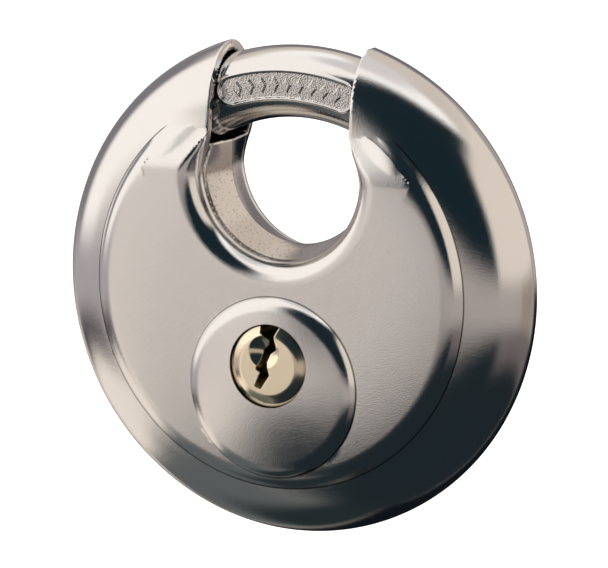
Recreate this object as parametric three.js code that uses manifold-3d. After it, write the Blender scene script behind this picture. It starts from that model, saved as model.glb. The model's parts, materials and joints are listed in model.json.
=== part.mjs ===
// Disc padlock: a round pressed-steel body whose curved shackle swings about the disc's own axis.
// Millimetres, +Z up, +Y towards the back, the keyway faces -Y. The origin is where a hasp bears on
// the underside of the closed shackle. Every piece is built about the disc's centre and then lowered.
import * as THREE from "three";
import { mergeVertices } from "three/addons/utils/BufferGeometryUtils.js";
import Module from "manifold-3d";

const wasm = await Module();
wasm.setup();

// ---- Driving dimensions -------------------------------------------------------------------------
const BODY_R = 35; // outer radius of the disc
const BOW_R = 28.1; // radius of the shackle's centreline
const LIP_R = 7.5; // half thickness of the body outside the pad
const RIM_R = 26.5; // from here out the section is half an ellipse
const BAR_R = 5; // shackle bar
const SHEET = 1.4; // thickness of the pressed shells
const SEAM = 0.1; // half of the joint between the two shells
const GAP = 0.3; // clearance between neighbours
const PAD_R = 27.4; // raised flat on each face
const PAD_FACE = 9.1;
const PAD_ROUND = 1.6;
const PAD_TIP_R = 2.5; // rounding of the pad's two horns
const PAD_LIP_Z = 18; // below this the pad runs into the lip
const THROAT_R = 10.4; // half width of the throat
const THROAT_Z = 16; // centre of its round bottom
const LIP = 4.7; // from the throat's narrowest line to where the lip starts to roll over
const LIP_ROLL = 3.1; // radius of that roll
const LIP_FULL_Z = 15; // the lip's rounding fades out between these heights
const LIP_NONE_Z = 22;
const MOUTH_Z = 19.4; // lower edge of the two openings that the shackle passes
const BOSS_R = 12.6; // raised round guard about the keyway
const BOSS_Z = -13.2;
const BOSS_FACE = 10.8;
const PLUG_Z = -10; // height of the plug's axis
const PLUG_R = 5.7;
const PLUG_FRONT = -10.7;
const BARREL_BACK = 2.5; // back of the cylinder body and of the plug's round part
const SHEAR_GAP = 0.15; // radial play of the plug in its bore
const PIN_COUNT = 4;
const PIN_PITCH = 2.5;
const PIN_FIRST_Y = -6.3;
const PIN_R = 0.95;
const CHAMBER_R = 1.1;
const KEY_TURN_DEG = 96; // plug travel from locked to open
const SWING_DEG = 56.2; // shackle travel from locked to open
const CRANK_R = 13; // cam pin from the plug's axis
const CRANK_START_DEG = 84; // cam's direction when locked, clockwise from the top
const CAM_PIN_R = 1.5;
const TOE_DEG = -32; // the shackle's ends when locked, clockwise from the top
const TAIL_DEG = 105;
const ROUND = 48; // sides of a medium round
const HANG_Z = BOW_R - BAR_R; // underside of the shackle above the disc's centre

// ---- Solids -------------------------------------------------------------------------------------
const rad = THREE.MathUtils.degToRad;

// A closed three.js geometry as a solid, turned right side out.
function solid(geometry) {
  const bare = geometry.index ? geometry.toNonIndexed() : geometry.clone();
  for (const name of Object.keys(bare.attributes)) if (name !== "position") bare.deleteAttribute(name);
  const merged = mergeVertices(bare, 1e-4);
  const vertProperties = merged.attributes.position.array;
  const triVerts = new Uint32Array(merged.index.array);
  const made = new wasm.Manifold(new wasm.Mesh({ numProp: 3, vertProperties, triVerts }));
  if (made.volume() > 0) return made;
  for (let i = 0; i < triVerts.length; i += 3) [triVerts[i], triVerts[i + 1]] = [triVerts[i + 1], triVerts[i]];
  return new wasm.Manifold(new wasm.Mesh({ numProp: 3, vertProperties, triVerts }));
}

const join = (...pieces) => pieces.reduce((all, piece) => all.add(piece));
const cut = (from, ...pieces) => pieces.reduce((rest, piece) => rest.subtract(piece), from);

// A solid of revolution about the Y axis through (x, z); points are [radius, y].
function turned(points, x = 0, z = 0, sides = ROUND) {
  const profile = points.map(([r, y]) => new THREE.Vector2(r, y));
  return solid(new THREE.LatheGeometry(profile, sides).translate(x, 0, z));
}

// A round bar along Y.
const disc = (r, front, back, x = 0, z = 0, sides = 32) =>
  turned([[0, front], [r, front], [r, back], [0, back]], x, z, sides);

// A flat piece across Y, from an outline of [x, z] points.
function plate(outline, front, back, bevel = {}) {
  const shape = new THREE.Shape(outline.map(([x, z]) => new THREE.Vector2(x, z)));
  const options = { depth: back - front, bevelEnabled: false, ...bevel };
  return solid(new THREE.ExtrudeGeometry(shape, options).rotateX(Math.PI / 2).translate(0, back, 0));
}

// A box between two corners.
function block([x0, y0, z0], [x1, y1, z1]) {
  const box = new THREE.BoxGeometry(x1 - x0, y1 - y0, z1 - z0);
  return solid(box.translate((x0 + x1) / 2, (y0 + y1) / 2, (z0 + z1) / 2));
}

// A round bar along Z.
function upright(r, low, high, y, sides = 20) {
  const bar = new THREE.CylinderGeometry(r, r, high - low, sides).rotateX(Math.PI / 2);
  return solid(bar.translate(0, y, (low + high) / 2));
}

// Points on an arc about (x, z), angles in degrees anticlockwise from +X.
function arc(x, z, r, from, to, steps) {
  const points = [];
  for (let i = 0; i <= steps; i++) {
    const a = rad(from + ((to - from) * i) / steps);
    points.push([x + r * Math.cos(a), z + r * Math.sin(a)]);
  }
  return points;
}

// A point at a clock angle, degrees clockwise from the top, seen from the front.
const clock = (r, deg, x = 0, z = 0) => [x + r * Math.sin(rad(deg)), z + r * Math.cos(rad(deg))];

// A sector between two radii and two clock angles about (x, z).
function sector(r0, r1, from, to, front, back, x = 0, z = 0, steps = 16) {
  const outer = arc(x, z, r1, 90 - to, 90 - from, steps);
  const inner = arc(x, z, r0, 90 - from, 90 - to, steps);
  return plate([...outer, ...inner], front, back);
}

// ---- The pressed shells -------------------------------------------------------------------------
// The throat's wall as [back, y]: how far it stands back from its narrowest line, which is at the seam.
// It leans back to the edge of the rolled lip, and inset is the depth below the outer surface.
function throatWall(inset) {
  const roll = LIP_ROLL - inset;
  const centreY = PAD_FACE - LIP_ROLL;
  const lip = [90, 60, 30, 0].map((a) => [LIP - roll * Math.sin(rad(a)), centreY + roll * Math.cos(rad(a))]);
  const half = [...lip, [LIP, 12]];
  return [...half.map(([back, y]) => [back, -y]).reverse(), [inset, 0], ...half];
}

// What the throat takes out of the body: a turned round bottom and straight sides above it.
function throatCutter(inset, top) {
  const wall = throatWall(inset);
  const bottom = wall.map(([back, y]) => [THROAT_R + back, y]);
  const disk = turned([[0, -12], ...bottom, [0, 12]], 0, THROAT_Z, 56);
  const round = cut(disk, block([-40, -80, THROAT_Z], [40, 80, THROAT_Z + 40]));
  const levels = [THROAT_Z - 0.2, 17, 18.2, 19.6, 21, LIP_NONE_Z, BODY_R + 2].filter((z) => z < top);
  levels.push(top);
  const rings = levels.map((z) => {
    const fade = THREE.MathUtils.smoothstep(LIP_NONE_Z - z, 0, LIP_NONE_Z - LIP_FULL_Z);
    const side = wall.map(([back, y]) => [THROAT_R + inset + fade * (back - inset), y]);
    return [...side.map(([x, y]) => [x, y, z]), ...side.reverse().map(([x, y]) => [-x, y, z])];
  });
  return join(round, loft(rings));
}

// A closed solid through rings of equal count, its first and last rings closed by a fan.
function loft(rings) {
  const count = rings[0].length;
  const positions = rings.flat(2);
  const index = [];
  for (let level = 0; level + 1 < rings.length; level++) {
    for (let i = 0; i < count; i++) {
      const a = level * count + i;
      const b = level * count + ((i + 1) % count);
      index.push(a, b, a + count, b, b + count, a + count);
    }
  }
  const last = (rings.length - 1) * count;
  for (let i = 0; i + 1 < count / 2; i++) {
    const j = count - 1 - i;
    index.push(i, j, i + 1, j, j - 1, i + 1);
    index.push(last + i, last + i + 1, last + j, last + j, last + i + 1, last + j - 1);
  }
  const geometry = new THREE.BufferGeometry();
  geometry.setAttribute("position", new THREE.Float32BufferAttribute(positions, 3));
  return solid(geometry.setIndex(index));
}

// One half of the body before the throat is cut, with half thickness t. side is -1 at the front.
function rimHalf(t, side) {
  const wide = BODY_R - RIM_R - (LIP_R - t);
  const rim = [12, 28, 42, 56, 72, 90].map((a) => [RIM_R + wide * Math.cos(rad(a)), side * t * Math.sin(rad(a))]);
  return turned([[0, side * SEAM], [RIM_R + wide, side * SEAM], ...rim, [0, side * t]], 0, 0, 64);
}

// The pad's outline, moved in by inset.
function padOutline(inset) {
  const outer = PAD_R - inset;
  const half = THROAT_R + LIP + inset;
  const tip = PAD_TIP_R - Math.min(inset, PAD_TIP_R - 1);
  const tipX = half + tip;
  const tipZ = Math.sqrt((outer - tip) ** 2 - tipX ** 2);
  const tipDeg = THREE.MathUtils.radToDeg(Math.atan2(tipZ, tipX));
  return [
    ...arc(0, 0, outer, 180 - tipDeg, 360 + tipDeg, 48),
    ...arc(tipX, tipZ, tip, tipDeg, 180, 5).slice(1),
    [half, PAD_LIP_Z],
    ...arc(0, THROAT_Z, THROAT_R + inset, 345, 195, 16),
    [-half, PAD_LIP_Z],
    ...arc(-tipX, tipZ, tip, 0, 180 - tipDeg, 5).slice(0, -1),
  ];
}

// The raised pad from the middle of the body out to its face.
function pad(inset, side) {
  const face = PAD_FACE - inset;
  const size = PAD_ROUND - inset / 2;
  const bevel = { bevelEnabled: true, bevelSize: size, bevelThickness: size, bevelOffset: -size, bevelSegments: inset ? 1 : 2 };
  const low = 3 + size;
  const depths = side < 0 ? [-(face - size), -low] : [low, face - size];
  return plate(padOutline(inset), ...depths, bevel);
}

// The round guard about the keyway, low and domed.
function boss(inset) {
  const face = BOSS_FACE - inset;
  const r = BOSS_R - inset;
  const slope = [[r, -face + 1.5], [r - 0.3, -face + 0.95], [r - 1.6, -face + 0.4], [r - 3.6, -face + 0.1], [r - 5.1, -face]];
  return turned([[0, -4], [r, -4], ...slope, [0, -face]], 0, BOSS_Z);
}

// Everything within one half of the body that lies inset below its outer surface, up to a height.
function shellBody(inset, side, top) {
  const rim = rimHalf(LIP_R - inset, side);
  const full = inset ? join(rim, halfSpace(side)) : rim;
  return cut(join(full, pad(inset, side)), throatCutter(inset, top));
}

function frontShell() {
  const outside = join(shellBody(0, -1, BODY_R + 2), boss(0));
  const inside = join(shellBody(SHEET, -1, MOUTH_Z), boss(SHEET));
  return cut(outside, inside, disc(PLUG_R + 0.25, -12, -6, 0, PLUG_Z, ROUND));
}

const rearShell = () => cut(shellBody(0, 1, BODY_R + 2), shellBody(SHEET, 1, MOUTH_Z));

// A thin slice at the seam, so that the hollow breaks through the joint face.
const halfSpace = (side) => {
  const r = BODY_R - SHEET;
  return side < 0 ? disc(r, -0.5, 0, 0, 0, 64) : disc(r, 0, 0.5, 0, 0, 64);
};

// ---- The core halves that fill the body and guide the shackle ------------------------------------
const CORE_R = 24.8;
const CORE_FACE = PAD_FACE - SHEET - GAP;
const CORE_TOP = 13;
const CORE_OFFSET = LIP + PAD_ROUND + SHEET / 2 + GAP;
const SCREWS = [[-19, 2], [19, 2], [-14, -17]];
const SCREW_R = 1.2;
const LUG_FRONT = 3.2;
const LUG_BACK = 4.6;
const CAM_FRONT = 4.8;
const CAM_BACK = 6.2;
const BARREL_R = 7.3;
const BARREL_FRONT = -7.7;
const BIBLE_HALF = 3.9;
const BIBLE_LOW = -23.1;

function coreHalf(front, back) {
  const ring = turned([[0, front], [CORE_R, front], [CORE_R, back], [0, back]], 0, 0, 64);
  const half = THROAT_R + CORE_OFFSET;
  const throat = disc(half, -12, 12, 0, THROAT_Z, 56);
  const above = block([-40, -12, CORE_TOP], [40, 12, 40]);
  const groove = channel(BAR_R + 0.35);
  return cut(ring, throat, above, groove);
}

// The full round channel about the disc's axis that the shackle slides in.
function channel(r) {
  const ring = [];
  for (let a = 0; a <= 360; a += 22.5) ring.push([BOW_R + r * Math.cos(rad(a)), r * Math.sin(rad(a))]);
  return turned(ring, 0, 0, 72);
}

const cylinderPocket = () =>
  join(
    disc(BARREL_R + GAP, -12, BARREL_BACK + GAP, 0, PLUG_Z, 40),
    block([-BIBLE_HALF - GAP, -12, BIBLE_LOW - GAP], [BIBLE_HALF + GAP, BARREL_BACK + GAP, PLUG_Z]),
  );

function frontCore() {
  const holes = SCREWS.map(([x, z]) => disc(SCREW_R + GAP, -5.5, 1, x, z, 20));
  return cut(coreHalf(-CORE_FACE, -SEAM), cylinderPocket(), ...holes);
}

function rearCore() {
  const holes = SCREWS.flatMap(([x, z]) => [
    disc(SCREW_R + GAP, -1, 9, x, z, 20),
    disc(2 * SCREW_R + GAP, CORE_FACE - 1.5, 9, x, z, 20),
  ]);
  const lugRoom = sector(11.5, 30, 96, slotAngle() + SWING_DEG + 18, LUG_FRONT - GAP, 9);
  const camRoom = sector(0.5, CRANK_R + 3.2, CRANK_START_DEG - 27, CRANK_START_DEG + KEY_TURN_DEG + 27, LUG_FRONT - GAP, 9, 0, PLUG_Z);
  const hubRoom = disc(7.6, BARREL_BACK, 9, 0, PLUG_Z, 32);
  return cut(coreHalf(SEAM, CORE_FACE), cylinderPocket(), lugRoom, camRoom, hubRoom, ...holes);
}

// A pan-head screw along Y, its head at the back.
function coreScrew([x, z]) {
  const head = CORE_FACE - 1.1;
  const profile = [[0, -5], [SCREW_R - 0.3, -5], [SCREW_R, -4.4], [SCREW_R, head], [2 * SCREW_R, head]];
  const body = turned([...profile, [2 * SCREW_R, head + 0.6], [2 * SCREW_R - 0.5, head + 1], [0, head + 1]], x, z, 20);
  return cut(body, block([x - 1.6, head + 0.5, z - 0.3], [x + 1.6, head + 2, z + 0.3]));
}

// ---- The pin tumbler cylinder ---------------------------------------------------------------------
const pinY = (i) => PIN_FIRST_Y + i * PIN_PITCH;
const SHEAR_Z = PLUG_Z - PLUG_R;
const DRIVER_LONG = 2.4;
const COVER_HIGH = BIBLE_LOW + 0.9;
const KEYWAY = [
  [-0.85, 7], [-1.05, 3.3], [-0.05, 2.5], [-0.25, 1.6], [-1.15, 0.9], [-1.35, -0.6], [-1.55, -1.6],
  [-1.0, -2.6], [-1.65, -4.0], [-0.75, -4.2], [0.15, -2.7], [-0.05, -1.2], [-0.25, 0], [0.55, 0.9],
  [1.05, 1.2], [0.9, 2.4], [1.25, 4.2], [1.35, 7],
];

function cylinderBody() {
  const barrel = disc(BARREL_R, BARREL_FRONT, BARREL_BACK, 0, PLUG_Z, 40);
  const bible = block([-BIBLE_HALF, BARREL_FRONT, BIBLE_LOW], [BIBLE_HALF, BARREL_BACK, PLUG_Z]);
  const bore = disc(PLUG_R + SHEAR_GAP, -12, 6, 0, PLUG_Z, ROUND);
  const chambers = pinIndexes.map((i) => upright(CHAMBER_R, COVER_HIGH, PLUG_Z, pinY(i)));
  const slide = block([-2.4, -12, BIBLE_LOW - 1], [2.4, 6, COVER_HIGH + 0.1]);
  return cut(join(barrel, bible), bore, slide, ...chambers);
}

const springCover = () =>
  block([-2.15, BARREL_FRONT + 0.2, BIBLE_LOW + 0.1], [2.15, BARREL_BACK - 0.2, COVER_HIGH - 0.1]);

function plug() {
  const round = turned(
    [[0, PLUG_FRONT], [PLUG_R - 0.85, PLUG_FRONT], [PLUG_R, PLUG_FRONT + 0.75], [PLUG_R, BARREL_BACK], [2.2, BARREL_BACK],
      [2.2, CAM_FRONT - 0.1], [0, CAM_FRONT - 0.1]],
    0, PLUG_Z,
  );
  const tang = disc(2.2, CAM_FRONT - 0.5, CAM_BACK, 0, PLUG_Z, 24)
    .intersect(block([-3, 4, PLUG_Z - 1.5], [3, 7, PLUG_Z + 1.5]));
  const keyway = plate(KEYWAY.map(([x, z]) => [x, z + PLUG_Z]), -12, BARREL_BACK - 0.8);
  const lead = turned([[0, -12], [2.9, -12], [2.4, PLUG_FRONT], [0.6, PLUG_FRONT + 1.7], [0, PLUG_FRONT + 1.7]], -0.1, PLUG_Z + 0.9, 28);
  const chambers = pinIndexes.map((i) => upright(CHAMBER_R, SHEAR_Z - 1, PLUG_Z - 0.8, pinY(i)));
  const clipGroove = cut(disc(3, 2.65, 3.05, 0, PLUG_Z, 24), disc(1.7, 2, 4, 0, PLUG_Z, 24));
  const tapped = disc(0.9, BARREL_BACK - 0.4, 8, 0, PLUG_Z, 16);
  return cut(join(round, tang), keyway, lead, clipGroove, tapped, ...chambers);
}

// A tumbler pin from low to high, with its upper end pointed by tip.
function pin(i, low, high, tip) {
  const profile = [[0, low], [PIN_R - 0.2, low], [PIN_R, low + 0.2], [PIN_R, high - tip], [0.35, high], [0, high]];
  const turnedUp = new THREE.LatheGeometry(profile.map(([r, z]) => new THREE.Vector2(r, z)), 20).rotateX(Math.PI / 2);
  return solid(turnedUp.translate(0, pinY(i), 0));
}

const KEY_PIN_LONG = [2.6, 3.3, 2.9, 3.6];
const keyPin = (i) => pin(i, SHEAR_Z + 0.1, SHEAR_Z + 0.1 + KEY_PIN_LONG[i], 0.8);
const driverPin = (i) => pin(i, SHEAR_Z - SHEAR_GAP - DRIVER_LONG, SHEAR_Z - SHEAR_GAP - 0.02, 0.2);

class Helix extends THREE.Curve {
  constructor(r, low, high, turns, y) {
    super();
    Object.assign(this, { r, low, high, turns, y });
  }
  getPoint(t, target = new THREE.Vector3()) {
    const a = t * this.turns * 2 * Math.PI;
    return target.set(this.r * Math.cos(a), this.y + this.r * Math.sin(a), this.low + t * (this.high - this.low));
  }
}

const WIRE_R = 0.17;
const SPRING_TURNS = 4.5;

function pinSpring(i) {
  const high = SHEAR_Z - SHEAR_GAP - DRIVER_LONG - WIRE_R - 0.1;
  const path = new Helix(CHAMBER_R - WIRE_R - 0.15, COVER_HIGH + WIRE_R + 0.05, high, SPRING_TURNS, pinY(i));
  const section = new THREE.Shape(arc(0, 0, WIRE_R, 0, 300, 5).map(([x, y]) => new THREE.Vector2(x, y)));
  return solid(new THREE.ExtrudeGeometry(section, { steps: 34, extrudePath: path }));
}

// The open ring that keeps the plug in its bore.
function plugClip() {
  const ring = cut(disc(4.6, 2.72, 2.98, 0, PLUG_Z, 28), disc(1.95, 2, 4, 0, PLUG_Z, 24));
  return cut(ring, block([-1.6, 2, PLUG_Z], [1.6, 4, PLUG_Z + 6]));
}

// ---- What the plug turns ---------------------------------------------------------------------------
function driveCam() {
  const [px, pz] = clock(CRANK_R, CRANK_START_DEG, 0, PLUG_Z);
  const hub = disc(4.2, CAM_FRONT, CAM_BACK, 0, PLUG_Z, 28);
  const tip = disc(2.2, CAM_FRONT, CAM_BACK, px, pz, 20);
  const side = (r, away, x, z) => clock(r, CRANK_START_DEG + away, x, z);
  const arm = plate([side(3.4, 90, 0, PLUG_Z), side(2.2, 90, px, pz), side(2.2, -90, px, pz), side(3.4, -90, 0, PLUG_Z)], CAM_FRONT, CAM_BACK);
  const drivePin = disc(CAM_PIN_R, LUG_FRONT, CAM_BACK, px, pz, 20);
  const seat = disc(2.35, 4, 7, 0, PLUG_Z, 24).intersect(block([-3, 4, PLUG_Z - 1.65], [3, 7, PLUG_Z + 1.65]));
  return cut(join(hub, tip, arm, drivePin), seat);
}

function camScrew() {
  const profile = [[0, 3], [0.6, 3], [0.6, CAM_BACK + 0.1], [2.9, CAM_BACK + 0.1], [2.9, CAM_BACK + 0.5], [2.3, CAM_BACK + 0.9], [0, CAM_BACK + 0.9]];
  return cut(turned(profile, 0, PLUG_Z, 24), block([-1.9, CAM_BACK + 0.5, PLUG_Z - 0.3], [1.9, CAM_BACK + 2, PLUG_Z + 0.3]));
}

// ---- The shackle ------------------------------------------------------------------------------------
class Bow extends THREE.Curve {
  getPoint(t, target = new THREE.Vector3()) {
    const [x, z] = clock(BOW_R, TOE_DEG + t * (TAIL_DEG - TOE_DEG));
    return target.set(x, 0, z);
  }
}

const FLAT_DEG = 89; // the tail is milled flat from here on, for the lug
const RIVET_DEGS = [95, 101];
const RIVET_R = 1;
const BAND_HALF = 2.4; // half width of the lug along the bar

function shackle() {
  const section = new THREE.Shape(arc(0, 0, BAR_R, 0, 342, 19).map(([x, y]) => new THREE.Vector2(x, y)));
  const bar = solid(new THREE.ExtrudeGeometry(section, { steps: 36, extrudePath: new Bow() }));
  const flat = sector(20, 36, FLAT_DEG, TAIL_DEG + 3, LUG_FRONT - 0.1, 8);
  const holes = RIVET_DEGS.map((deg) => disc(RIVET_R + 0.15, 0.3, 8, ...clock(BOW_R, deg), 16));
  const panel = sector(BOW_R - 1.9, BOW_R + 1.9, -19, 19, -8, -BAR_R + 0.45);
  return cut(bar, flat, panel, ...holes);
}

function driveLug() {
  const slotDeg = slotAngle();
  const band = sector(BOW_R - BAND_HALF, BOW_R + BAND_HALF - 0.4, FLAT_DEG + 1.5, slotDeg + 9, LUG_FRONT, LUG_BACK);
  const arm = radialBar(12.6, BOW_R, 4.1, slotDeg, LUG_FRONT, LUG_BACK);
  const slot = radialBar(13.7, 24.9, CAM_PIN_R + 0.55, slotDeg, LUG_FRONT - 1, LUG_BACK + 1);
  const holes = RIVET_DEGS.map((deg) => disc(RIVET_R + 0.15, 0, 8, ...clock(BOW_R, deg), 16));
  return cut(join(band, arm), slot, ...holes);
}

// Where the cam's pin stands about the disc's centre when locked, as a clock angle.
function slotAngle() {
  const [x, z] = clock(CRANK_R, CRANK_START_DEG, 0, PLUG_Z);
  return THREE.MathUtils.radToDeg(Math.atan2(x, z));
}

// A straight bar along a clock direction, from one radius to another.
function radialBar(from, to, half, deg, front, back) {
  const [ux, uz] = clock(1, deg);
  const corner = (r, side) => [r * ux + side * half * uz, r * uz - side * half * ux];
  return plate([corner(from, 1), corner(from, -1), corner(to, -1), corner(to, 1)], front, back);
}

const lugRivet = (deg) => disc(RIVET_R, 0.6, LUG_BACK - 0.05, ...clock(BOW_R, deg), 16);

// ---- The assembly -------------------------------------------------------------------------------------
const pinIndexes = [...Array(PIN_COUNT).keys()];
const material = (color, roughness, metalness) => new THREE.MeshStandardMaterial({ color, roughness, metalness });
const STAINLESS = material(0xc9c5c0, 0.18, 1);
const HARDENED = material(0xbfbdbb, 0.2, 1);
const BRASS = material(0xd9b46a, 0.28, 1);
const ZINC = material(0x8c9094, 0.55, 0.8);
const SPRING = material(0xa8abb0, 0.3, 1);

const assembly = new THREE.Group();
const lowered = new THREE.Group();
lowered.position.z = -HANG_Z;
assembly.add(lowered);

function add(name, piece, finish) {
  const mesh = piece.getMesh();
  const positions = new Float32Array(mesh.numVert * 3);
  for (let i = 0; i < mesh.numVert; i++) {
    positions.set(mesh.vertProperties.subarray(i * mesh.numProp, i * mesh.numProp + 3), i * 3);
  }
  const geometry = new THREE.BufferGeometry();
  geometry.setAttribute("position", new THREE.BufferAttribute(positions, 3));
  geometry.setIndex(new THREE.BufferAttribute(mesh.triVerts, 1));
  geometry.computeVertexNormals();
  const node = new THREE.Mesh(geometry, finish);
  node.name = name;
  lowered.add(node);
}

add("front_shell", frontShell(), STAINLESS);
add("rear_shell", rearShell(), STAINLESS);
add("front_core", frontCore(), ZINC);
add("rear_core", rearCore(), ZINC);
SCREWS.forEach((place, i) => add(`core_screw_${i + 1}`, coreScrew(place), SPRING));
add("cylinder_body", cylinderBody(), BRASS);
add("spring_cover", springCover(), BRASS);
add("plug", plug(), BRASS);
add("plug_clip", plugClip(), SPRING);
for (const i of pinIndexes) {
  add(`key_pin_${i + 1}`, keyPin(i), BRASS);
  add(`driver_pin_${i + 1}`, driverPin(i), BRASS);
  add(`pin_spring_${i + 1}`, pinSpring(i), SPRING);
}
add("drive_cam", driveCam(), HARDENED);
add("cam_screw", camScrew(), SPRING);
add("shackle", shackle(), HARDENED);
add("drive_lug", driveLug(), HARDENED);
RIVET_DEGS.forEach((deg, i) => add(`lug_rivet_${i + 1}`, lugRivet(deg), SPRING));

export default assembly;
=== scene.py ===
# Disc padlock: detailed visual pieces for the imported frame, their materials, and the studio.
import json
import math

import bmesh
import bpy
import numpy as np
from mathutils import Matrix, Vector

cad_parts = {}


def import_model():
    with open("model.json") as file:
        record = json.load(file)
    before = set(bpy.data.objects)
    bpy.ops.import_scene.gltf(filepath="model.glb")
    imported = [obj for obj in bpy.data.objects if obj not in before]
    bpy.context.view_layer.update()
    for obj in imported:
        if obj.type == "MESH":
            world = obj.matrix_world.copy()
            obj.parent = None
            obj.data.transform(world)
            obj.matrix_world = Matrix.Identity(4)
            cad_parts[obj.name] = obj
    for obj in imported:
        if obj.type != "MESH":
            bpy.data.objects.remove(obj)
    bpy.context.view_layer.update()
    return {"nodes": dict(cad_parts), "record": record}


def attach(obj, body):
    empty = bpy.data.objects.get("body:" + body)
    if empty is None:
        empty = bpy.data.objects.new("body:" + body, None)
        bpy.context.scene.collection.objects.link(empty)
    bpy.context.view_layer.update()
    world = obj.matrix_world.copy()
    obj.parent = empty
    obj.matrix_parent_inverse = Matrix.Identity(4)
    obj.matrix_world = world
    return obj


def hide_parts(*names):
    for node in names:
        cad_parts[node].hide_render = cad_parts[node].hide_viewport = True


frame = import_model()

# ---- Dimensions, in millimetres about the disc's centre -------------------------------------------
BOW_R = 28.1      # radius of the shackle's centreline
BAR_R = 5.0
HANG_Z = BOW_R - BAR_R
BODY_R = 35.0
LIP_R = 7.5       # half thickness of the body outside the pad
RIM_R = 24.5      # from here out the section is half an ellipse
SHEET = 1.4
SEAM = 0.03
PAD_R = 27.4
PAD_FACE = 9.1
THROAT_R = 10.4
THROAT_Z = 16.0
LIP = 4.7
LIP_ROLL = 3.1
LEAN = 0.267      # how much the throat's wall stands back for its depth
MOUTH_Z = 19.4
BOSS_R = 12.6
BOSS_Z = -13.2
BOSS_FACE = 10.8
HOLE_R = 5.8
PLUG_Z = -10.0
PLUG_R = 5.7
PLUG_FRONT = 10.7
CHAMBER_R = 1.1
CHAMBERS_Y = (-6.3, -3.8, -1.3, 1.2)  # one for each key pin, opening downwards
PAD_FLAT_R = 15   # past here the pad's face falls away as a slight dome
PAD_CROWN = 0.003     # millimetres of fall for each square millimetre past that
BOSS_CROWN = 0.0045   # the same for the boss, from its centre
TIP_ROUND = 3.2   # rounding where the pad's outline turns at its tips
DROP_LOW_Z, DROP_HIGH_Z = 15.5, 24  # the lip comes down from the pad to the rim between these
GROOVE_DEEP = 0.14
CHAMFER_SIN, CHAMFER_COS = math.sin(math.radians(48)), math.cos(math.radians(48))
TOE_DEG, TAIL_DEG = -32, 105  # where the bar starts and ends, as clock angles
PANEL_DEG = 23    # the stretch that the panel lies in, and a little more
PANEL_HALF = 8.4  # from its middle to the centre of its round ends
PANEL_END_R = 1.85
PANEL_FLOOR_Y = -4.42
MARK_PITCH = 1.9
MARKS_HALF = 8.2
BEAD_HIGH = 0.12
FINE_DEG = 32     # round the bar, the stretch to either side of its front with more points
TAIL_FLAT_Y = 3.1
MILL_START_DEG, MILL_END_DEG = 88.6, 89.2  # where the tail's flat runs out to its full depth
STUB_R = 2.2
PLUG_BACK, STUB_BACK, TANG_BACK, WAY_BACK = -2.5, -4.7, -6.2, -1.7  # forward of y = 0 is positive
TANG_HALF = 1.5
CHAMBER_TOP = -0.8    # above the plug's axis is positive
SHELL_STEP, PLUG_STEP = 0.36, 0.122  # of the nets that draw them
CREASE_DEG = 9    # a face that turns from its corners by more than this is drawn with an edge


# ---- Signed fields --------------------------------------------------------------------------------
def smax(a, b, k):
    """The larger of two fields, with an edge rounded over k."""
    h = np.clip(k - np.abs(a - b), 0, None) / k
    return np.maximum(a, b) + h * h * k / 4


def smin(a, b, k):
    return -smax(-a, -b, k)


def ramp(x, low, high):
    t = np.clip((x - low) / (high - low), 0, 1)
    return t * t * (3 - 2 * t)


def oval(a, b, wide, high, power):
    """Distance outside a superellipse section, to first order."""
    u, v = a / wide, b / high
    f = np.maximum((u ** power + v ** power) ** (1 / power), 1e-6)
    du = (u / f) ** (power - 1) / wide
    dv = (v / f) ** (power - 1) / high
    return (f - 1) / np.maximum(np.hypot(du, dv), 1e-6)


def throat_far(x, z):
    """Distance from the middle line of the throat, a U that is open at the top."""
    return np.where(z < THROAT_Z, np.hypot(x, z - THROAT_Z), np.abs(x))


def drop(z):
    """How far the lip has come down from the pad towards the rim."""
    return (PAD_FACE - LIP_R) * ramp(z, DROP_LOW_Z, DROP_HIGH_Z)


def rim_field(x, v, z, t):
    r = np.hypot(x, z)
    return oval(np.maximum(r - RIM_R, 0), v, BODY_R - RIM_R - t, LIP_R - t, 2)


def lip_field(x, v, z, t):
    """The throat: its wall leans back to a crease, where the rolled lip takes over."""
    fade = np.maximum(ramp(z, 22.5, 15), 0.05)
    back = (throat_far(x, z) - THROAT_R - t) / fade
    low = PAD_FACE - LIP_ROLL - drop(z)
    u, w = np.maximum(LIP - t - back, 0), np.maximum(v - low, 0)
    far = np.maximum(np.hypot(u, w), 1e-6)
    roll = (far - LIP_ROLL + t) / np.maximum(np.hypot(u / fade, w) / far, 1)
    wall = np.maximum((LEAN * v - back) / np.hypot(1 / fade, LEAN), v - low)
    return np.minimum(roll, wall)


def pad_field(x, v, z, t):
    """The raised face, with a chamfer down to the rim and two tips beside the mouths."""
    r = np.hypot(x, z)
    q = throat_far(x, z)
    outline = smax(r - (PAD_R - t), 0.45 * (THROAT_R + 3.2 + t - q), TIP_ROUND)
    face = PAD_FACE - t - PAD_CROWN * np.maximum(r - PAD_FLAT_R, 0) ** 2
    raised = smax(CHAMFER_SIN * outline + CHAMFER_COS * (v - LIP_R + t), v - face, 0.9)
    shoulder = v - face + drop(z)
    shoulder = shoulder + 0.3 * np.maximum(q - (THROAT_R + 9.4 + t), 0)
    shoulder = np.maximum(shoulder, r - (PAD_R - t - 1.5))
    return smin(raised, shoulder, 1e-6 + 0.8 * ramp(z, 17, 22))


def boss_field(x, v, z, t):
    rho = np.hypot(x, z - BOSS_Z)
    side = 0.866 * (rho - BOSS_R + t) + 0.5 * (v - PAD_FACE + t)
    return smax(side, v - BOSS_FACE + t + BOSS_CROWN * rho ** 2, 1.1)


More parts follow.
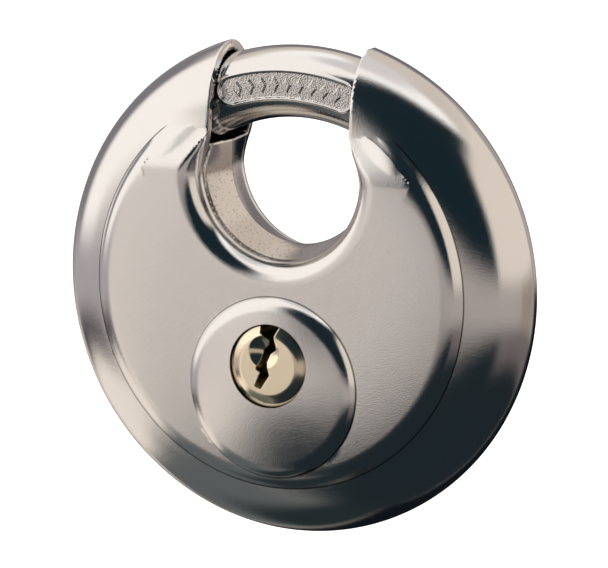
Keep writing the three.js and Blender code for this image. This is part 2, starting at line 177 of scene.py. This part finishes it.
def shell_field(front):
    def field(x, y, z):
        v = np.abs(y)
        q = throat_far(x, z)
        outside = np.minimum(rim_field(x, v, z, 0), pad_field(x, v, z, 0))
        outside = smax(outside, lip_field(x, v, z, 0), 0.5 + 0.9 * ramp(z, 17, 22))
        above = (v - PAD_FACE + LIP_ROLL + drop(z)) / 0.22
        beyond_wall = np.maximum(q - 12.3, 0) / 0.3
        groove = np.exp(-above ** 2 - beyond_wall ** 2)
        outside = outside + GROOVE_DEEP * groove * ramp(z, 21, 18)
        outside = smax(outside, THROAT_R - q, 0.5)
        inside = np.minimum(rim_field(x, v, z, SHEET), pad_field(x, v, z, SHEET))
        inside = np.maximum(inside, lip_field(x, v, z, SHEET))
        inside = np.minimum(inside, smax(rim_field(x, v, z, SHEET), MOUTH_Z - z, 0.5))
        if front:
            outside = np.minimum(outside, boss_field(x, v, z, 0))
            inside = np.minimum(inside, boss_field(x, v, z, SHEET))
        shell = smax(outside, -inside, 0.3)
        if front:
            hole = np.minimum(HOLE_R - np.hypot(x, z - PLUG_Z), v - 6)
            shell = np.maximum(shell, hole)
        return shell
    return field


# ---- Meshes from fields ---------------------------------------------------------------------------
def gradient(field, p, e=0.02):
    g = np.empty_like(p)
    for i in range(3):
        a, b = p.copy(), p.copy()
        a[:, i] += e
        b[:, i] -= e
        g[:, i] = field(*a.T) - field(*b.T)
    return g / (2 * e)


def crossing(fa, fb):
    """Where a field changes sign between two points, as a share of the way from the first."""
    return np.clip(fa / np.where(fa == fb, 1, fa - fb), 0.02, 0.98)[:, None]


def net(field, low, high, step):
    """The field's surface as quads: one point in each cell it crosses, placed to keep edges sharp."""
    axes = [np.arange(a, b + step, step) for a, b in zip(low, high)]
    inside = field(*np.meshgrid(*axes, indexing="ij", sparse=True)) < 0
    shape = tuple(n - 1 for n in inside.shape)
    cells, crossings, normals = [], [], []
    for axis in range(3):
        near, far = [slice(None)] * 3, [slice(None)] * 3
        near[axis], far[axis] = slice(None, -1), slice(1, None)
        start = np.argwhere(inside[tuple(near)] != inside[tuple(far)])
        for other in ((axis + 1) % 3, (axis + 2) % 3):
            start = start[(start[:, other] > 0) & (start[:, other] < inside.shape[other] - 1)]
        reach = np.eye(3)[axis] * step
        a = np.array(low) + start * step
        b = a + reach
        fa, fb = field(*a.T), field(*b.T)
        for _ in range(3):
            middle = a + (b - a) * crossing(fa, fb)
            fm = field(*middle.T)
            same = (fm < 0) == (fa < 0)
            a, fa = np.where(same[:, None], middle, a), np.where(same, fm, fa)
            b, fb = np.where(same[:, None], b, middle), np.where(same, fb, fm)
        point = a + (b - a) * crossing(fa, fb)
        normal = unit(gradient(field, point))
        for du in (0, 1):
            for dv in (0, 1):
                offset = np.zeros(3, int)
                offset[(axis + 1) % 3], offset[(axis + 2) % 3] = du, dv
                cells.append(np.ravel_multi_index((start - offset).T, shape))
                crossings.append(point)
                normals.append(normal)
    cells, which = np.unique(np.concatenate(cells), return_inverse=True)
    crossings, normals = np.concatenate(crossings), np.concatenate(normals)
    count = np.bincount(which)
    centre = np.stack([np.bincount(which, crossings[:, i]) for i in range(3)], 1) / count[:, None]
    away = (normals * (crossings - centre[which])).sum(1)
    pairs = [(i, j) for i in range(3) for j in range(3)]
    square = np.stack([np.bincount(which, normals[:, i] * normals[:, j]) for i, j in pairs], 1)
    side = np.stack([np.bincount(which, normals[:, i] * away) for i in range(3)], 1)
    shift = np.linalg.solve(square.reshape(-1, 3, 3) + 0.03 * np.eye(3), side[..., None])[..., 0]
    length = np.linalg.norm(shift, axis=1)[:, None]
    points = centre + shift * np.minimum(1, 0.8 * step / np.maximum(length, 1e-9))
    index = np.full(shape, -1)
    index.flat[cells] = np.arange(len(cells))
    faces = []
    for axis in range(3):
        o1, o2 = [(1, 2), (2, 0), (0, 1)][axis]
        a = np.moveaxis(inside, [axis, o1, o2], [0, 1, 2])
        idx = np.moveaxis(index, [axis, o1, o2], [0, 1, 2])
        i, j, k = np.nonzero(a[:-1, 1:-1, 1:-1] != a[1:, 1:-1, 1:-1])
        quad = np.stack([idx[i, j, k], idx[i, j + 1, k], idx[i, j + 1, k + 1], idx[i, j, k + 1]], 1)
        out = a[i, j + 1, k + 1]
        quad[~out] = quad[~out][:, ::-1]
        faces.append(quad)
    return points, np.concatenate(faces)


def unit(vectors):
    return vectors / np.maximum(np.linalg.norm(vectors, axis=1), 1e-9)[:, None]


def to_row(p):
    """Millimetres about the disc's centre to the row frame in metres."""
    return (np.asarray(p) + [0, 0, -HANG_Z]) / 1000


def new_object(name, points, faces):
    mesh = bpy.data.meshes.new(name)
    mesh.from_pydata(to_row(points).tolist(), [], faces.tolist() if hasattr(faces, "tolist") else faces)
    mesh.update()
    for poly in mesh.polygons:
        poly.use_smooth = True
    made = bpy.data.objects.new(name, mesh)
    bpy.context.scene.collection.objects.link(made)
    return made


def field_object(name, field, low, high, step, cut_y=None, side=0):
    """An object from a field. With cut_y the solid is cut flat there and closed, keeping the given side."""
    points, faces = net(field, low, high, step)
    made = new_object(name, points, faces)
    mesh = made.data
    if cut_y is not None:
        bm = bmesh.new()
        bm.from_mesh(mesh)
        everything = bm.verts[:] + bm.edges[:] + bm.faces[:]
        bmesh.ops.bisect_plane(bm, geom=everything, dist=1e-7, plane_co=(0, cut_y / 1000, 0),
                               plane_no=(0, -side, 0), clear_outer=True)
        rim = [e for e in bm.edges if e.is_boundary]
        bmesh.ops.triangle_fill(bm, use_beauty=True, use_dissolve=False, edges=rim, normal=(0, -side, 0))
        bm.to_mesh(mesh)
        bm.free()
    points = np.empty(len(mesh.vertices) * 3)
    mesh.vertices.foreach_get("co", points)
    points = points.reshape(-1, 3) * 1000 + [0, 0, HANG_Z]
    loops = np.empty(len(mesh.loops), dtype=np.int64)
    mesh.loops.foreach_get("vertex_index", loops)
    total = np.empty(len(mesh.polygons), dtype=np.int64)
    mesh.polygons.foreach_get("loop_total", total)
    owner = np.repeat(np.arange(len(total)), total)
    middle = np.stack([np.bincount(owner, points[loops][:, i]) for i in range(3)], 1) / total[:, None]
    smooth = unit(gradient(field, points))[loops]
    own = unit(gradient(field, points[loops] * 0.6 + middle[owner] * 0.4))
    creased = (smooth * own).sum(1) < math.cos(math.radians(CREASE_DEG))
    split = np.where(creased[:, None], own, smooth)
    if cut_y is not None:
        for poly in mesh.polygons:
            ids = np.array(poly.vertices)
            if np.all(np.abs(points[ids, 1] - cut_y) < 1e-3):
                split[poly.loop_start:poly.loop_start + poly.loop_total] = (0, -side, 0)
    for poly in mesh.polygons:
        poly.use_smooth = True
    mesh.normals_split_custom_set(split.tolist())
    return made


# ---- Pieces ---------------------------------------------------------------------------------------
def shells():
    low, high = (-35.9, -11.6, -35.9), (35.9, 0.7, 34.3)
    front = field_object("front_cover", shell_field(True), low, high, SHELL_STEP, -SEAM, -1)
    low, high = (-35.9, -0.7, -35.9), (35.9, 9.9, 34.3)
    rear = field_object("rear_cover", shell_field(False), low, high, SHELL_STEP, SEAM, 1)
    return front, rear


def bow():
    """The bar, swept along its arc, with the bordered panel pressed into its front."""
    stretches = (
        np.linspace(TOE_DEG, -PANEL_DEG, 26)[:-1],
        np.linspace(-PANEL_DEG, PANEL_DEG, 420)[:-1],
        np.linspace(PANEL_DEG, TAIL_DEG, 76),
    )
    along = np.radians(np.concatenate(stretches))
    sectors = (
        np.linspace(-FINE_DEG, FINE_DEG, 118)[:-1],
        np.linspace(FINE_DEG, 360 - FINE_DEG, 72)[:-1],
    )
    around = np.radians(np.concatenate(sectors))
    rng = np.random.default_rng(7)
    a, w = np.meshgrid(along, around, indexing="ij")
    h = BAR_R * np.sin(w)
    y = -BAR_R * np.cos(w)
    s = a * BOW_R
    stadium = np.hypot(np.maximum(np.abs(s) - PANEL_HALF, 0), h) - PANEL_END_R
    front = y < 0
    pit = ramp(stadium, 0.12, -0.22) * front
    grain = rng.normal(size=a.shape)
    grain = (grain + np.roll(grain, 1, 0) + np.roll(grain, 1, 1) + np.roll(grain, (1, 1), (0, 1))) / 2
    mark = np.abs(((s / MARK_PITCH + 0.5) % 1) - 0.5) * MARK_PITCH / 0.62 + np.abs(h) / 1.05
    mark = ramp(mark, 1.15, 0.85) * (np.abs(s) < MARKS_HALF)
    y = y * (1 - pit) + (PANEL_FLOOR_Y + 0.008 * grain - 0.2 * mark) * pit
    bead = np.exp(-((stadium - 0.16) / 0.17) ** 2) * front
    y = y - BEAD_HIGH * bead
    flat = ramp(np.degrees(a), MILL_START_DEG, MILL_END_DEG)
    y = np.where(y > TAIL_FLAT_Y, y * (1 - flat) + TAIL_FLAT_Y * flat, y)
    centre_r = BOW_R + h
    x, z = centre_r * np.sin(a), centre_r * np.cos(a)
    rows = [np.stack([x[i], y[i], z[i]], 1) for i in range(len(along))]

    def cap_rows(i, sign):
        made = []
        for shrink, out in ((0.97, 0.2), (0.9, 0.38), (0.8, 0.45), (0.4, 0.45)):
            angle = along[i] + sign * out / BOW_R
            r = BOW_R + h[i] * shrink
            made.append(np.stack([r * math.sin(angle), y[i] * shrink, r * math.cos(angle)], 1))
        return made

    start, end = cap_rows(0, -1)[::-1], cap_rows(len(along) - 1, 1)
    rows = start + rows + end
    n = len(around)
    points = np.concatenate(rows)
    base = np.arange(len(rows) - 1)[:, None] * n
    k = np.arange(n)[None, :]
    k2 = (k + 1) % n
    faces = np.stack([base + k, base + n + k, base + n + k2, base + k2], -1).reshape(-1, 4)
    faces = faces.tolist()
    faces.append(list(range(n)))
    faces.append(list(range((len(rows) - 1) * n, len(rows) * n))[::-1])
    return new_object("shackle_bar", points, faces)


def polygon_far(x, z, outline):
    """Signed distance from a closed outline, negative inside."""
    best = np.full(np.broadcast(x, z).shape, 1e9)
    inside = np.zeros(best.shape, bool)
    for (ax, az), (bx, bz) in zip(outline, outline[1:] + outline[:1]):
        ex, ez = bx - ax, bz - az
        wx, wz = x - ax, z - az
        t = np.clip((wx * ex + wz * ez) / (ex * ex + ez * ez), 0, 1)
        best = np.minimum(best, (wx - t * ex) ** 2 + (wz - t * ez) ** 2)
        spans = (az <= z) != (bz <= z)
        inside ^= spans & (x < ax + (z - az) * ex / (ez if ez else 1e-9))
    return np.sqrt(best) * np.where(inside, -1, 1)


# The keyway's outline about the plug's axis, x across and z up.
KEYWAY = [
    (-1.15, 7.0), (-1.15, 4.5), (0.15, 3.55), (0.0, 2.9), (-0.85, 2.1), (-1.05, 1.2), (-1.75, -0.5),
    (-1.1, -0.95), (-1.9, -2.9), (-1.0, -3.2), (0.25, -1.3), (-0.25, 0.5), (0.2, 1.6), (1.15, 2.25),
    (0.95, 4.2), (1.5, 5.3), (1.5, 7.0),
]


def plug_field(x, y, z):
    v, pz = -y, z - PLUG_Z
    rho = np.hypot(x, pz)
    face = v - PLUG_FRONT
    chamfer = 0.342 * (rho - PLUG_R + 1.4) + 0.940 * face
    body = smax(smax(rho - PLUG_R, face, 0.1), chamfer, 0.12)
    body = smax(body, PLUG_BACK - v, 0.2)
    stub = smax(rho - STUB_R, STUB_BACK - v, 0.15)
    tang = smax(smax(np.abs(pz) - TANG_HALF, TANG_BACK - v, 0.15), rho - STUB_R, 0.15)
    body = np.minimum(body, np.maximum(np.minimum(stub, tang), v))
    way = np.maximum(polygon_far(x, pz, KEYWAY), WAY_BACK - v)
    body = smax(body, -way, 0.1)
    for chamber_y in CHAMBERS_Y:
        chamber = np.maximum(np.hypot(x, y - chamber_y) - CHAMBER_R, pz - CHAMBER_TOP)
        body = smax(body, -chamber, 0.08)
    lead = np.sqrt((x + 0.5) ** 2 + (pz - 2.0) ** 2 + (face - 3.2) ** 2) - 3.9
    return smax(body, -lead, 0.08)


def plug():
    low, high = (-6.13, -11.13, PLUG_Z - 6.13), (6.13, 6.6, PLUG_Z + 6.13)
    return field_object("keyed_plug", plug_field, low, high, PLUG_STEP)


# ---- Materials ------------------------------------------------------------------------------------
def material(name):
    made = bpy.data.materials.new(name)
    made.use_nodes = True
    tree = made.node_tree
    return made, tree, tree.nodes["Principled BSDF"]


def node(tree, kind, **settings):
    made = tree.nodes.new(kind)
    for key, value in settings.items():
        made.inputs[key].default_value = value
    return made


def calc(tree, operation, *values):
    """One Math node; each value is a number or a socket."""
    made = tree.nodes.new("ShaderNodeMath")
    made.operation = operation
    for socket, value in zip(made.inputs, values):
        if isinstance(value, (int, float)):
            socket.default_value = value
        else:
            tree.links.new(value, socket)
    return made.outputs[0]


def past(tree, value, limit, soft):
    """1 where the value is past the limit, 0 before it, turning over the width soft."""
    made = tree.nodes.new("ShaderNodeMapRange")
    made.interpolation_type = "SMOOTHSTEP"
    made.inputs["From Min"].default_value = -0.5
    made.inputs["From Max"].default_value = 0.5
    far = calc(tree, "DIVIDE", calc(tree, "SUBTRACT", value, limit), soft)
    tree.links.new(far, made.inputs["Value"])
    return made.outputs[0]


def before(tree, value, limit, soft):
    """1 short of the limit, 0 past it."""
    return calc(tree, "SUBTRACT", 1, past(tree, value, limit, soft))


def times(tree, a, b):
    return calc(tree, "MULTIPLY", a, b)


def far_from(tree, a, b):
    """The distance with a and b as its two components."""
    return calc(tree, "SQRT", calc(tree, "MULTIPLY_ADD", a, a, times(tree, b, b)))


def blend(tree, share, first, second):
    """Mixes two colours; each is a socket or three numbers."""
    made = tree.nodes.new("ShaderNodeMix")
    made.data_type = "RGBA"
    tree.links.new(share, made.inputs[0])
    for socket, value in ((made.inputs[6], first), (made.inputs[7], second)):
        if isinstance(value, tuple):
            socket.default_value = (*value, 1)
        else:
            tree.links.new(value, socket)
    return made.outputs[2]


def spots(tree, scale, detail=2.0):
    made = node(tree, "ShaderNodeTexNoise", Scale=scale, Detail=detail)
    tree.links.new(tree.nodes["place"].outputs["Object"], made.inputs["Vector"])
    return made.outputs["Fac"]


def millimetres(tree):
    """The object's own x, y and z, in millimetres about the disc's centre."""
    axes = tree.nodes.new("ShaderNodeSeparateXYZ")
    tree.links.new(tree.nodes["place"].outputs["Object"], axes.inputs[0])
    x, y, z = [calc(tree, "MULTIPLY", out, 1000) for out in axes.outputs]
    return x, y, calc(tree, "ADD", z, HANG_Z)


def steel(name, color, rough, grain, grain_scale, finish=None):
    """A metal with cloudy tint, uneven polish and a fine grain; finish adds marks and painted shade of its
    own.
    """
    made, tree, bsdf = material(name)
    link = tree.links.new
    bsdf.inputs["Metallic"].default_value = 1
    tree.nodes.new("ShaderNodeTexCoord").name = "place"
    cloud = spots(tree, 260.0, 4.0)
    tint = blend(tree, cloud, tuple(c * 0.96 for c in color), color)
    polish = calc(tree, "MULTIPLY", calc(tree, "MULTIPLY_ADD", cloud, 0.3, 0.85), rough)
    if finish:
        tint, polish = finish(tree, tint, polish)
    link(tint, bsdf.inputs["Base Color"])
    link(polish, bsdf.inputs["Roughness"])
    bump = node(tree, "ShaderNodeBump", Strength=1.0, Distance=grain)
    height = calc(tree, "MULTIPLY_ADD", spots(tree, grain_scale / 2.2), 0.4, spots(tree, grain_scale))
    link(height, bump.inputs["Height"])
    link(bump.outputs["Normal"], bsdf.inputs["Normal"])
    return made


def fine_ring(tree, far, radius, half_wide, height, lowest):
    """A fine ring at a radius, on the part of the surface higher than lowest."""
    off = calc(tree, "ABSOLUTE", calc(tree, "SUBTRACT", far, radius))
    return times(tree, before(tree, off, half_wide, 0.08), past(tree, height, lowest, 0.3))


def shell_marks_and_shade(tree, tint, polish):
    """Satin faces, a throat wall painted browner with dark specks as painted reflection, and painted shade
    in the creases round the pad and the boss.
    """
    x, y, z = millimetres(tree)
    depth = calc(tree, "ABSOLUTE", y)
    below = calc(tree, "MINIMUM", calc(tree, "SUBTRACT", z, THROAT_Z), 0)
    q = far_from(tree, x, below)
    satin = times(tree, past(tree, depth, 8.45, 0.5), past(tree, q, THROAT_R + LIP, 1.2))
    polish = calc(tree, "ADD", times(tree, polish, 0.75), times(tree, satin, 0.035))

    off_wall = calc(tree, "MAXIMUM", past(tree, depth, 6.0, 0.4), past(tree, q, 12.4, 0.6))
    wall = times(tree, calc(tree, "SUBTRACT", 1, off_wall), before(tree, z, 17, 5))
    reflection_mottle = past(tree, spots(tree, 2600.0), 0.62, 0.06)
    # Painted reflection: the throat wall is painted browner, with dark specks, standing in for the dark
    # mottled reflections seen in it.
    tint = blend(tree, times(tree, wall, 0.3), tint, (0.52, 0.44, 0.36))
    tint = blend(tree, times(tree, wall, times(tree, reflection_mottle, 0.3)), tint, (0.10, 0.075, 0.06))
    polish = calc(tree, "MULTIPLY_ADD", wall, 0.04, polish)

    rho = far_from(tree, x, calc(tree, "SUBTRACT", z, BOSS_Z))
    round_pad = fine_ring(tree, far_from(tree, x, z), PAD_R + 0.32, 0.09, depth, 6.4)
    round_pad = times(tree, round_pad, before(tree, z, 21.6, 1.0))
    round_boss = fine_ring(tree, rho, BOSS_R, 0.08, times(tree, y, -1), 8.4)
    crease_shade = calc(tree, "MAXIMUM", round_pad, round_boss)
    # Painted shade: a dark fine ring is painted into the creases round the pad and the boss.
    tint = blend(tree, times(tree, crease_shade, 0.8), tint, (0.07, 0.055, 0.045))
    return tint, polish


def plug_rings_and_shade(tree, tint, polish):
    """Rings left by the lathe, and painted shade on the plug's outer edge, heavier towards the bottom."""
    x, y, z = millimetres(tree)
    over = calc(tree, "SUBTRACT", z, PLUG_Z)
    rho = far_from(tree, x, over)
    rings = calc(tree, "SINE", times(tree, rho, 48))
    polish = calc(tree, "MULTIPLY_ADD", rings, 0.02, polish)
    outer = past(tree, rho, PLUG_R - 0.35, 0.5)
    heavier = calc(tree, "MULTIPLY_ADD", before(tree, over, -0.5, 6.0), 0.5, 0.25)
    # Painted shade: the plug's outer edge is painted darker, more so towards the bottom.
    tint = blend(tree, times(tree, outer, heavier), tint, (0.16, 0.13, 0.07))
    return tint, polish


shell_steel = steel("polished_stainless", (0.80, 0.785, 0.775), 0.13, 0.00001, 8000.0, shell_marks_and_shade)
bar_steel = steel("hardened_bar", (0.78, 0.77, 0.76), 0.12, 0.000004, 7000.0)
brass = steel("brass", (0.97, 0.86, 0.66), 0.16, 0.000003, 7000.0, plug_rings_and_shade)
cast = steel("die_cast", (0.36, 0.37, 0.38), 0.5, 0.00002, 2500.0)
plated = steel("plated_steel", (0.55, 0.55, 0.54), 0.3, 0.000004, 3000.0)

front_cover, rear_cover = shells()
bar = bow()
keyed_plug = plug()
for piece, finish, body, stands_for, slot_name in (
    (front_cover, shell_steel, "case", "front_shell", "stainless"),
    (rear_cover, shell_steel, "case", "rear_shell", "stainless"),
    (bar, bar_steel, "shackle", "shackle", "hardened_steel"),
    (keyed_plug, brass, "plug", "plug", "brass"),
):
    piece.data.materials.append(finish)
    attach(piece, body)
    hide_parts(stands_for)

finishes = {
    "stainless": shell_steel,
    "hardened_steel": bar_steel,
    "brass": brass,
    "die_cast": cast,
    "plated_steel": plated,
}
slots = {s["node"]: s["material_slot"] for s in frame["record"]["subparts"]}
for name, cad in frame["nodes"].items():
    for i in range(len(cad.material_slots)):
        cad.material_slots[i].material = finishes[slots[name]]

# ---- Camera ---------------------------------------------------------------------------------------
AZ, EL = math.radians(25.4), math.radians(10.0)
CAMERA_FAR = 700       # millimetres from the disc's centre
IMAGE_WIDE = 608       # pixels
PHOTO_SCALE = 7.226    # pixels to the millimetre at the disc's centre, as in the photo
back = Vector((math.sin(AZ) * math.cos(EL), -math.cos(AZ) * math.cos(EL), math.sin(EL)))
up = Vector((-math.sin(AZ) * math.sin(EL), math.cos(AZ) * math.sin(EL), math.cos(EL)))
across = Vector((math.cos(AZ), math.sin(AZ), 0))
centre = Vector((0, 0, -HANG_Z / 1000))
camera_data = bpy.data.cameras.new("camera")
camera_data.sensor_width = 36
camera_data.lens = PHOTO_SCALE * CAMERA_FAR * camera_data.sensor_width / IMAGE_WIDE
camera_data.clip_start, camera_data.clip_end = 0.05, 20
camera = bpy.data.objects.new("camera", camera_data)
bpy.context.scene.collection.objects.link(camera)
camera.location = centre + across * 0.00044 - up * 0.00024 + back * (CAMERA_FAR / 1000)
camera.rotation_mode = "QUATERNION"
camera.rotation_quaternion = back.to_track_quat("Z", "Y")
bpy.context.scene.camera = camera

# ---- Studio ---------------------------------------------------------------------------------------
# Soft cards of light all round, given by azimuth (0 in front, + to the right) and elevation in degrees.
world = bpy.data.worlds.new("studio")
bpy.context.scene.world = world
world.use_nodes = True
sky = world.node_tree
TURN = 180 / math.pi

axes = sky.nodes.new("ShaderNodeSeparateXYZ")
sky.links.new(sky.nodes.new("ShaderNodeTexCoord").outputs["Generated"], axes.inputs[0])
forward = times(sky, axes.outputs[1], -1)
azimuth = times(sky, calc(sky, "ARCTAN2", axes.outputs[0], forward), TURN)
elevation = times(sky, calc(sky, "ARCSINE", axes.outputs[2]), TURN)


def edge(points):
    """A card's edge: elevation as a smooth curve over azimuth."""
    if isinstance(points, (int, float)):
        return points
    made = sky.nodes.new("ShaderNodeFloatCurve")
    made.mapping.extend = "HORIZONTAL"
    line = made.mapping.curves[0]
    places = [((az + 180) / 360, (el + 90) / 180) for az, el in points]
    line.points[0].location, line.points[1].location = places[0], places[-1]
    for place in places[1:-1]:
        line.points.new(*place)
    made.mapping.update()
    sky.links.new(calc(sky, "MULTIPLY_ADD", azimuth, 1 / 360, 0.5), made.inputs["Value"])
    return calc(sky, "MULTIPLY_ADD", made.outputs[0], 180, -90)


STEEL_GAIN = 1.28  # makes up for the light that steel absorbs
shade = None


def card(tone, left=-200, right=200, low=-100, high=100, side_soft=6, soft=5):
    """Lays a card over what is there; tone is its 8-bit display colour as seen in the steel."""
    global shade
    mix = sky.nodes.new("ShaderNodeMix")
    mix.data_type = "RGBA"
    value = [STEEL_GAIN * (c / 255) ** 2.2 for c in tone] + [1]
    mix.inputs[7].default_value = value
    if shade is None:
        mix.inputs[6].default_value = value
    else:
        sky.links.new(shade, mix.inputs[6])
    heights = times(sky, past(sky, elevation, edge(low), soft), before(sky, elevation, edge(high), soft))
    sides = times(sky, past(sky, azimuth, left, side_soft), before(sky, azimuth, right, side_soft))
    sky.links.new(times(sky, heights, sides), mix.inputs[0])
    shade = mix.outputs[2]


# Edges that cards share: azimuth and elevation in degrees.
WEDGE_TOP = [(-24, -7), (-10, -3), (10, -3), (50, -3), (100, -3)]
WEDGE_LOW = [(-30, -13.2), (-20, -13.2), (0, -15), (20, -17), (80, -18), (150, -18)]
STRIP_TOP = [(-118, -22), (-90, -22), (-60, -21), (-40, -15), (-26, -10)]
WINDOW_TOP = [(-20, 40), (-5, 58), (60, 58), (90, 50), (110, 46)]
RIGHT_TOP = [(51, 26), (60, 38), (75, 44), (90, 47), (120, 46), (150, 40)]
STRIP_LOW = [(-118, -33), (-90, -38), (-60, -32), (-40, -22), (-26, -14)]
card((198, 188, 178))  # walls behind
card((246, 242, 238), -160, 98, 52, 100, side_soft=20, soft=14)  # ceiling
card((206, 200, 198), low=72, soft=12)  # straight above
card((160, 152, 148), 154, 200, -8, 30, side_soft=8, soft=10)  # wall behind
card((112, 108, 112), -200, -142, -8, 34, side_soft=16, soft=10)
card((22, 27, 31), 154, 200, -100, -8, side_soft=5, soft=4)  # floor behind
card((22, 27, 31), -200, -140, -100, -9, side_soft=24, soft=4)
card((118, 115, 119), -142, -98, -12, 38, side_soft=14, soft=12)  # left wall
card((244, 238, 232), -98, 0, -8, 70, side_soft=14, soft=10)  # front left softbox
card((204, 196, 190), -66, 12, -30, 3, side_soft=10, soft=12)  # its lower, duller part
card((160, 153, 156), -120, -45, -15, -4, side_soft=20, soft=7)
card((84, 80, 84), -120, -52, -22, -15, side_soft=12, soft=4)
card((34, 42, 46), -30, 154, -100, WEDGE_LOW, side_soft=5, soft=2.5)  # dark room below
card((104, 97, 97), 55, 152, -30, -18, side_soft=20, soft=8)
card((88, 92, 92), -140, -30, -100, STRIP_LOW, side_soft=8, soft=4)
card((40, 47, 49), -140, -22, -100, -56, side_soft=12, soft=16)
card((224, 214, 204), -120, -30, STRIP_LOW, STRIP_TOP, side_soft=5, soft=4)
card((28, 40, 46), -22, 100, WEDGE_TOP, WINDOW_TOP, side_soft=5, soft=5)
card((212, 202, 190), 51, 154, -6, RIGHT_TOP, side_soft=4, soft=3)
card((160, 152, 148), -18, 95, WEDGE_LOW, WEDGE_TOP, side_soft=8, soft=4)  # wall at eye level
card((142, 131, 123), 95, 154, WEDGE_LOW, WEDGE_TOP, side_soft=24, soft=6)
seen = sky.nodes.new("ShaderNodeMix")
seen.data_type = "RGBA"
sky.links.new(sky.nodes.new("ShaderNodeLightPath").outputs["Is Camera Ray"], seen.inputs[0])
sky.links.new(shade, seen.inputs[6])
seen.inputs[7].default_value = (1, 1, 1, 1)
sky.links.new(seen.outputs[2], sky.nodes["Background"].inputs["Color"])
bpy.context.scene.view_settings.view_transform = "Standard"

floor_mesh = bpy.data.meshes.new("floor")
reach, floor_z = 6.0, (-BODY_R - HANG_Z - 6) / 1000
signs = ((-1, -1), (1, -1), (1, 1), (-1, 1))
floor_mesh.from_pydata([(reach * a, reach * b, floor_z) for a, b in signs], [], [(0, 1, 2, 3)])
floor = bpy.data.objects.new("floor", floor_mesh)
bpy.context.scene.collection.objects.link(floor)
pale, tree, bsdf = material("pale_floor")
bsdf.inputs["Base Color"].default_value = (0.9, 0.9, 0.9, 1)
bsdf.inputs["Roughness"].default_value = 0.9
bsdf.inputs["Emission Color"].default_value = (1, 1, 1, 1)
bsdf.inputs["Emission Strength"].default_value = 0.8
floor_mesh.materials.append(pale)
floor.visible_glossy = False
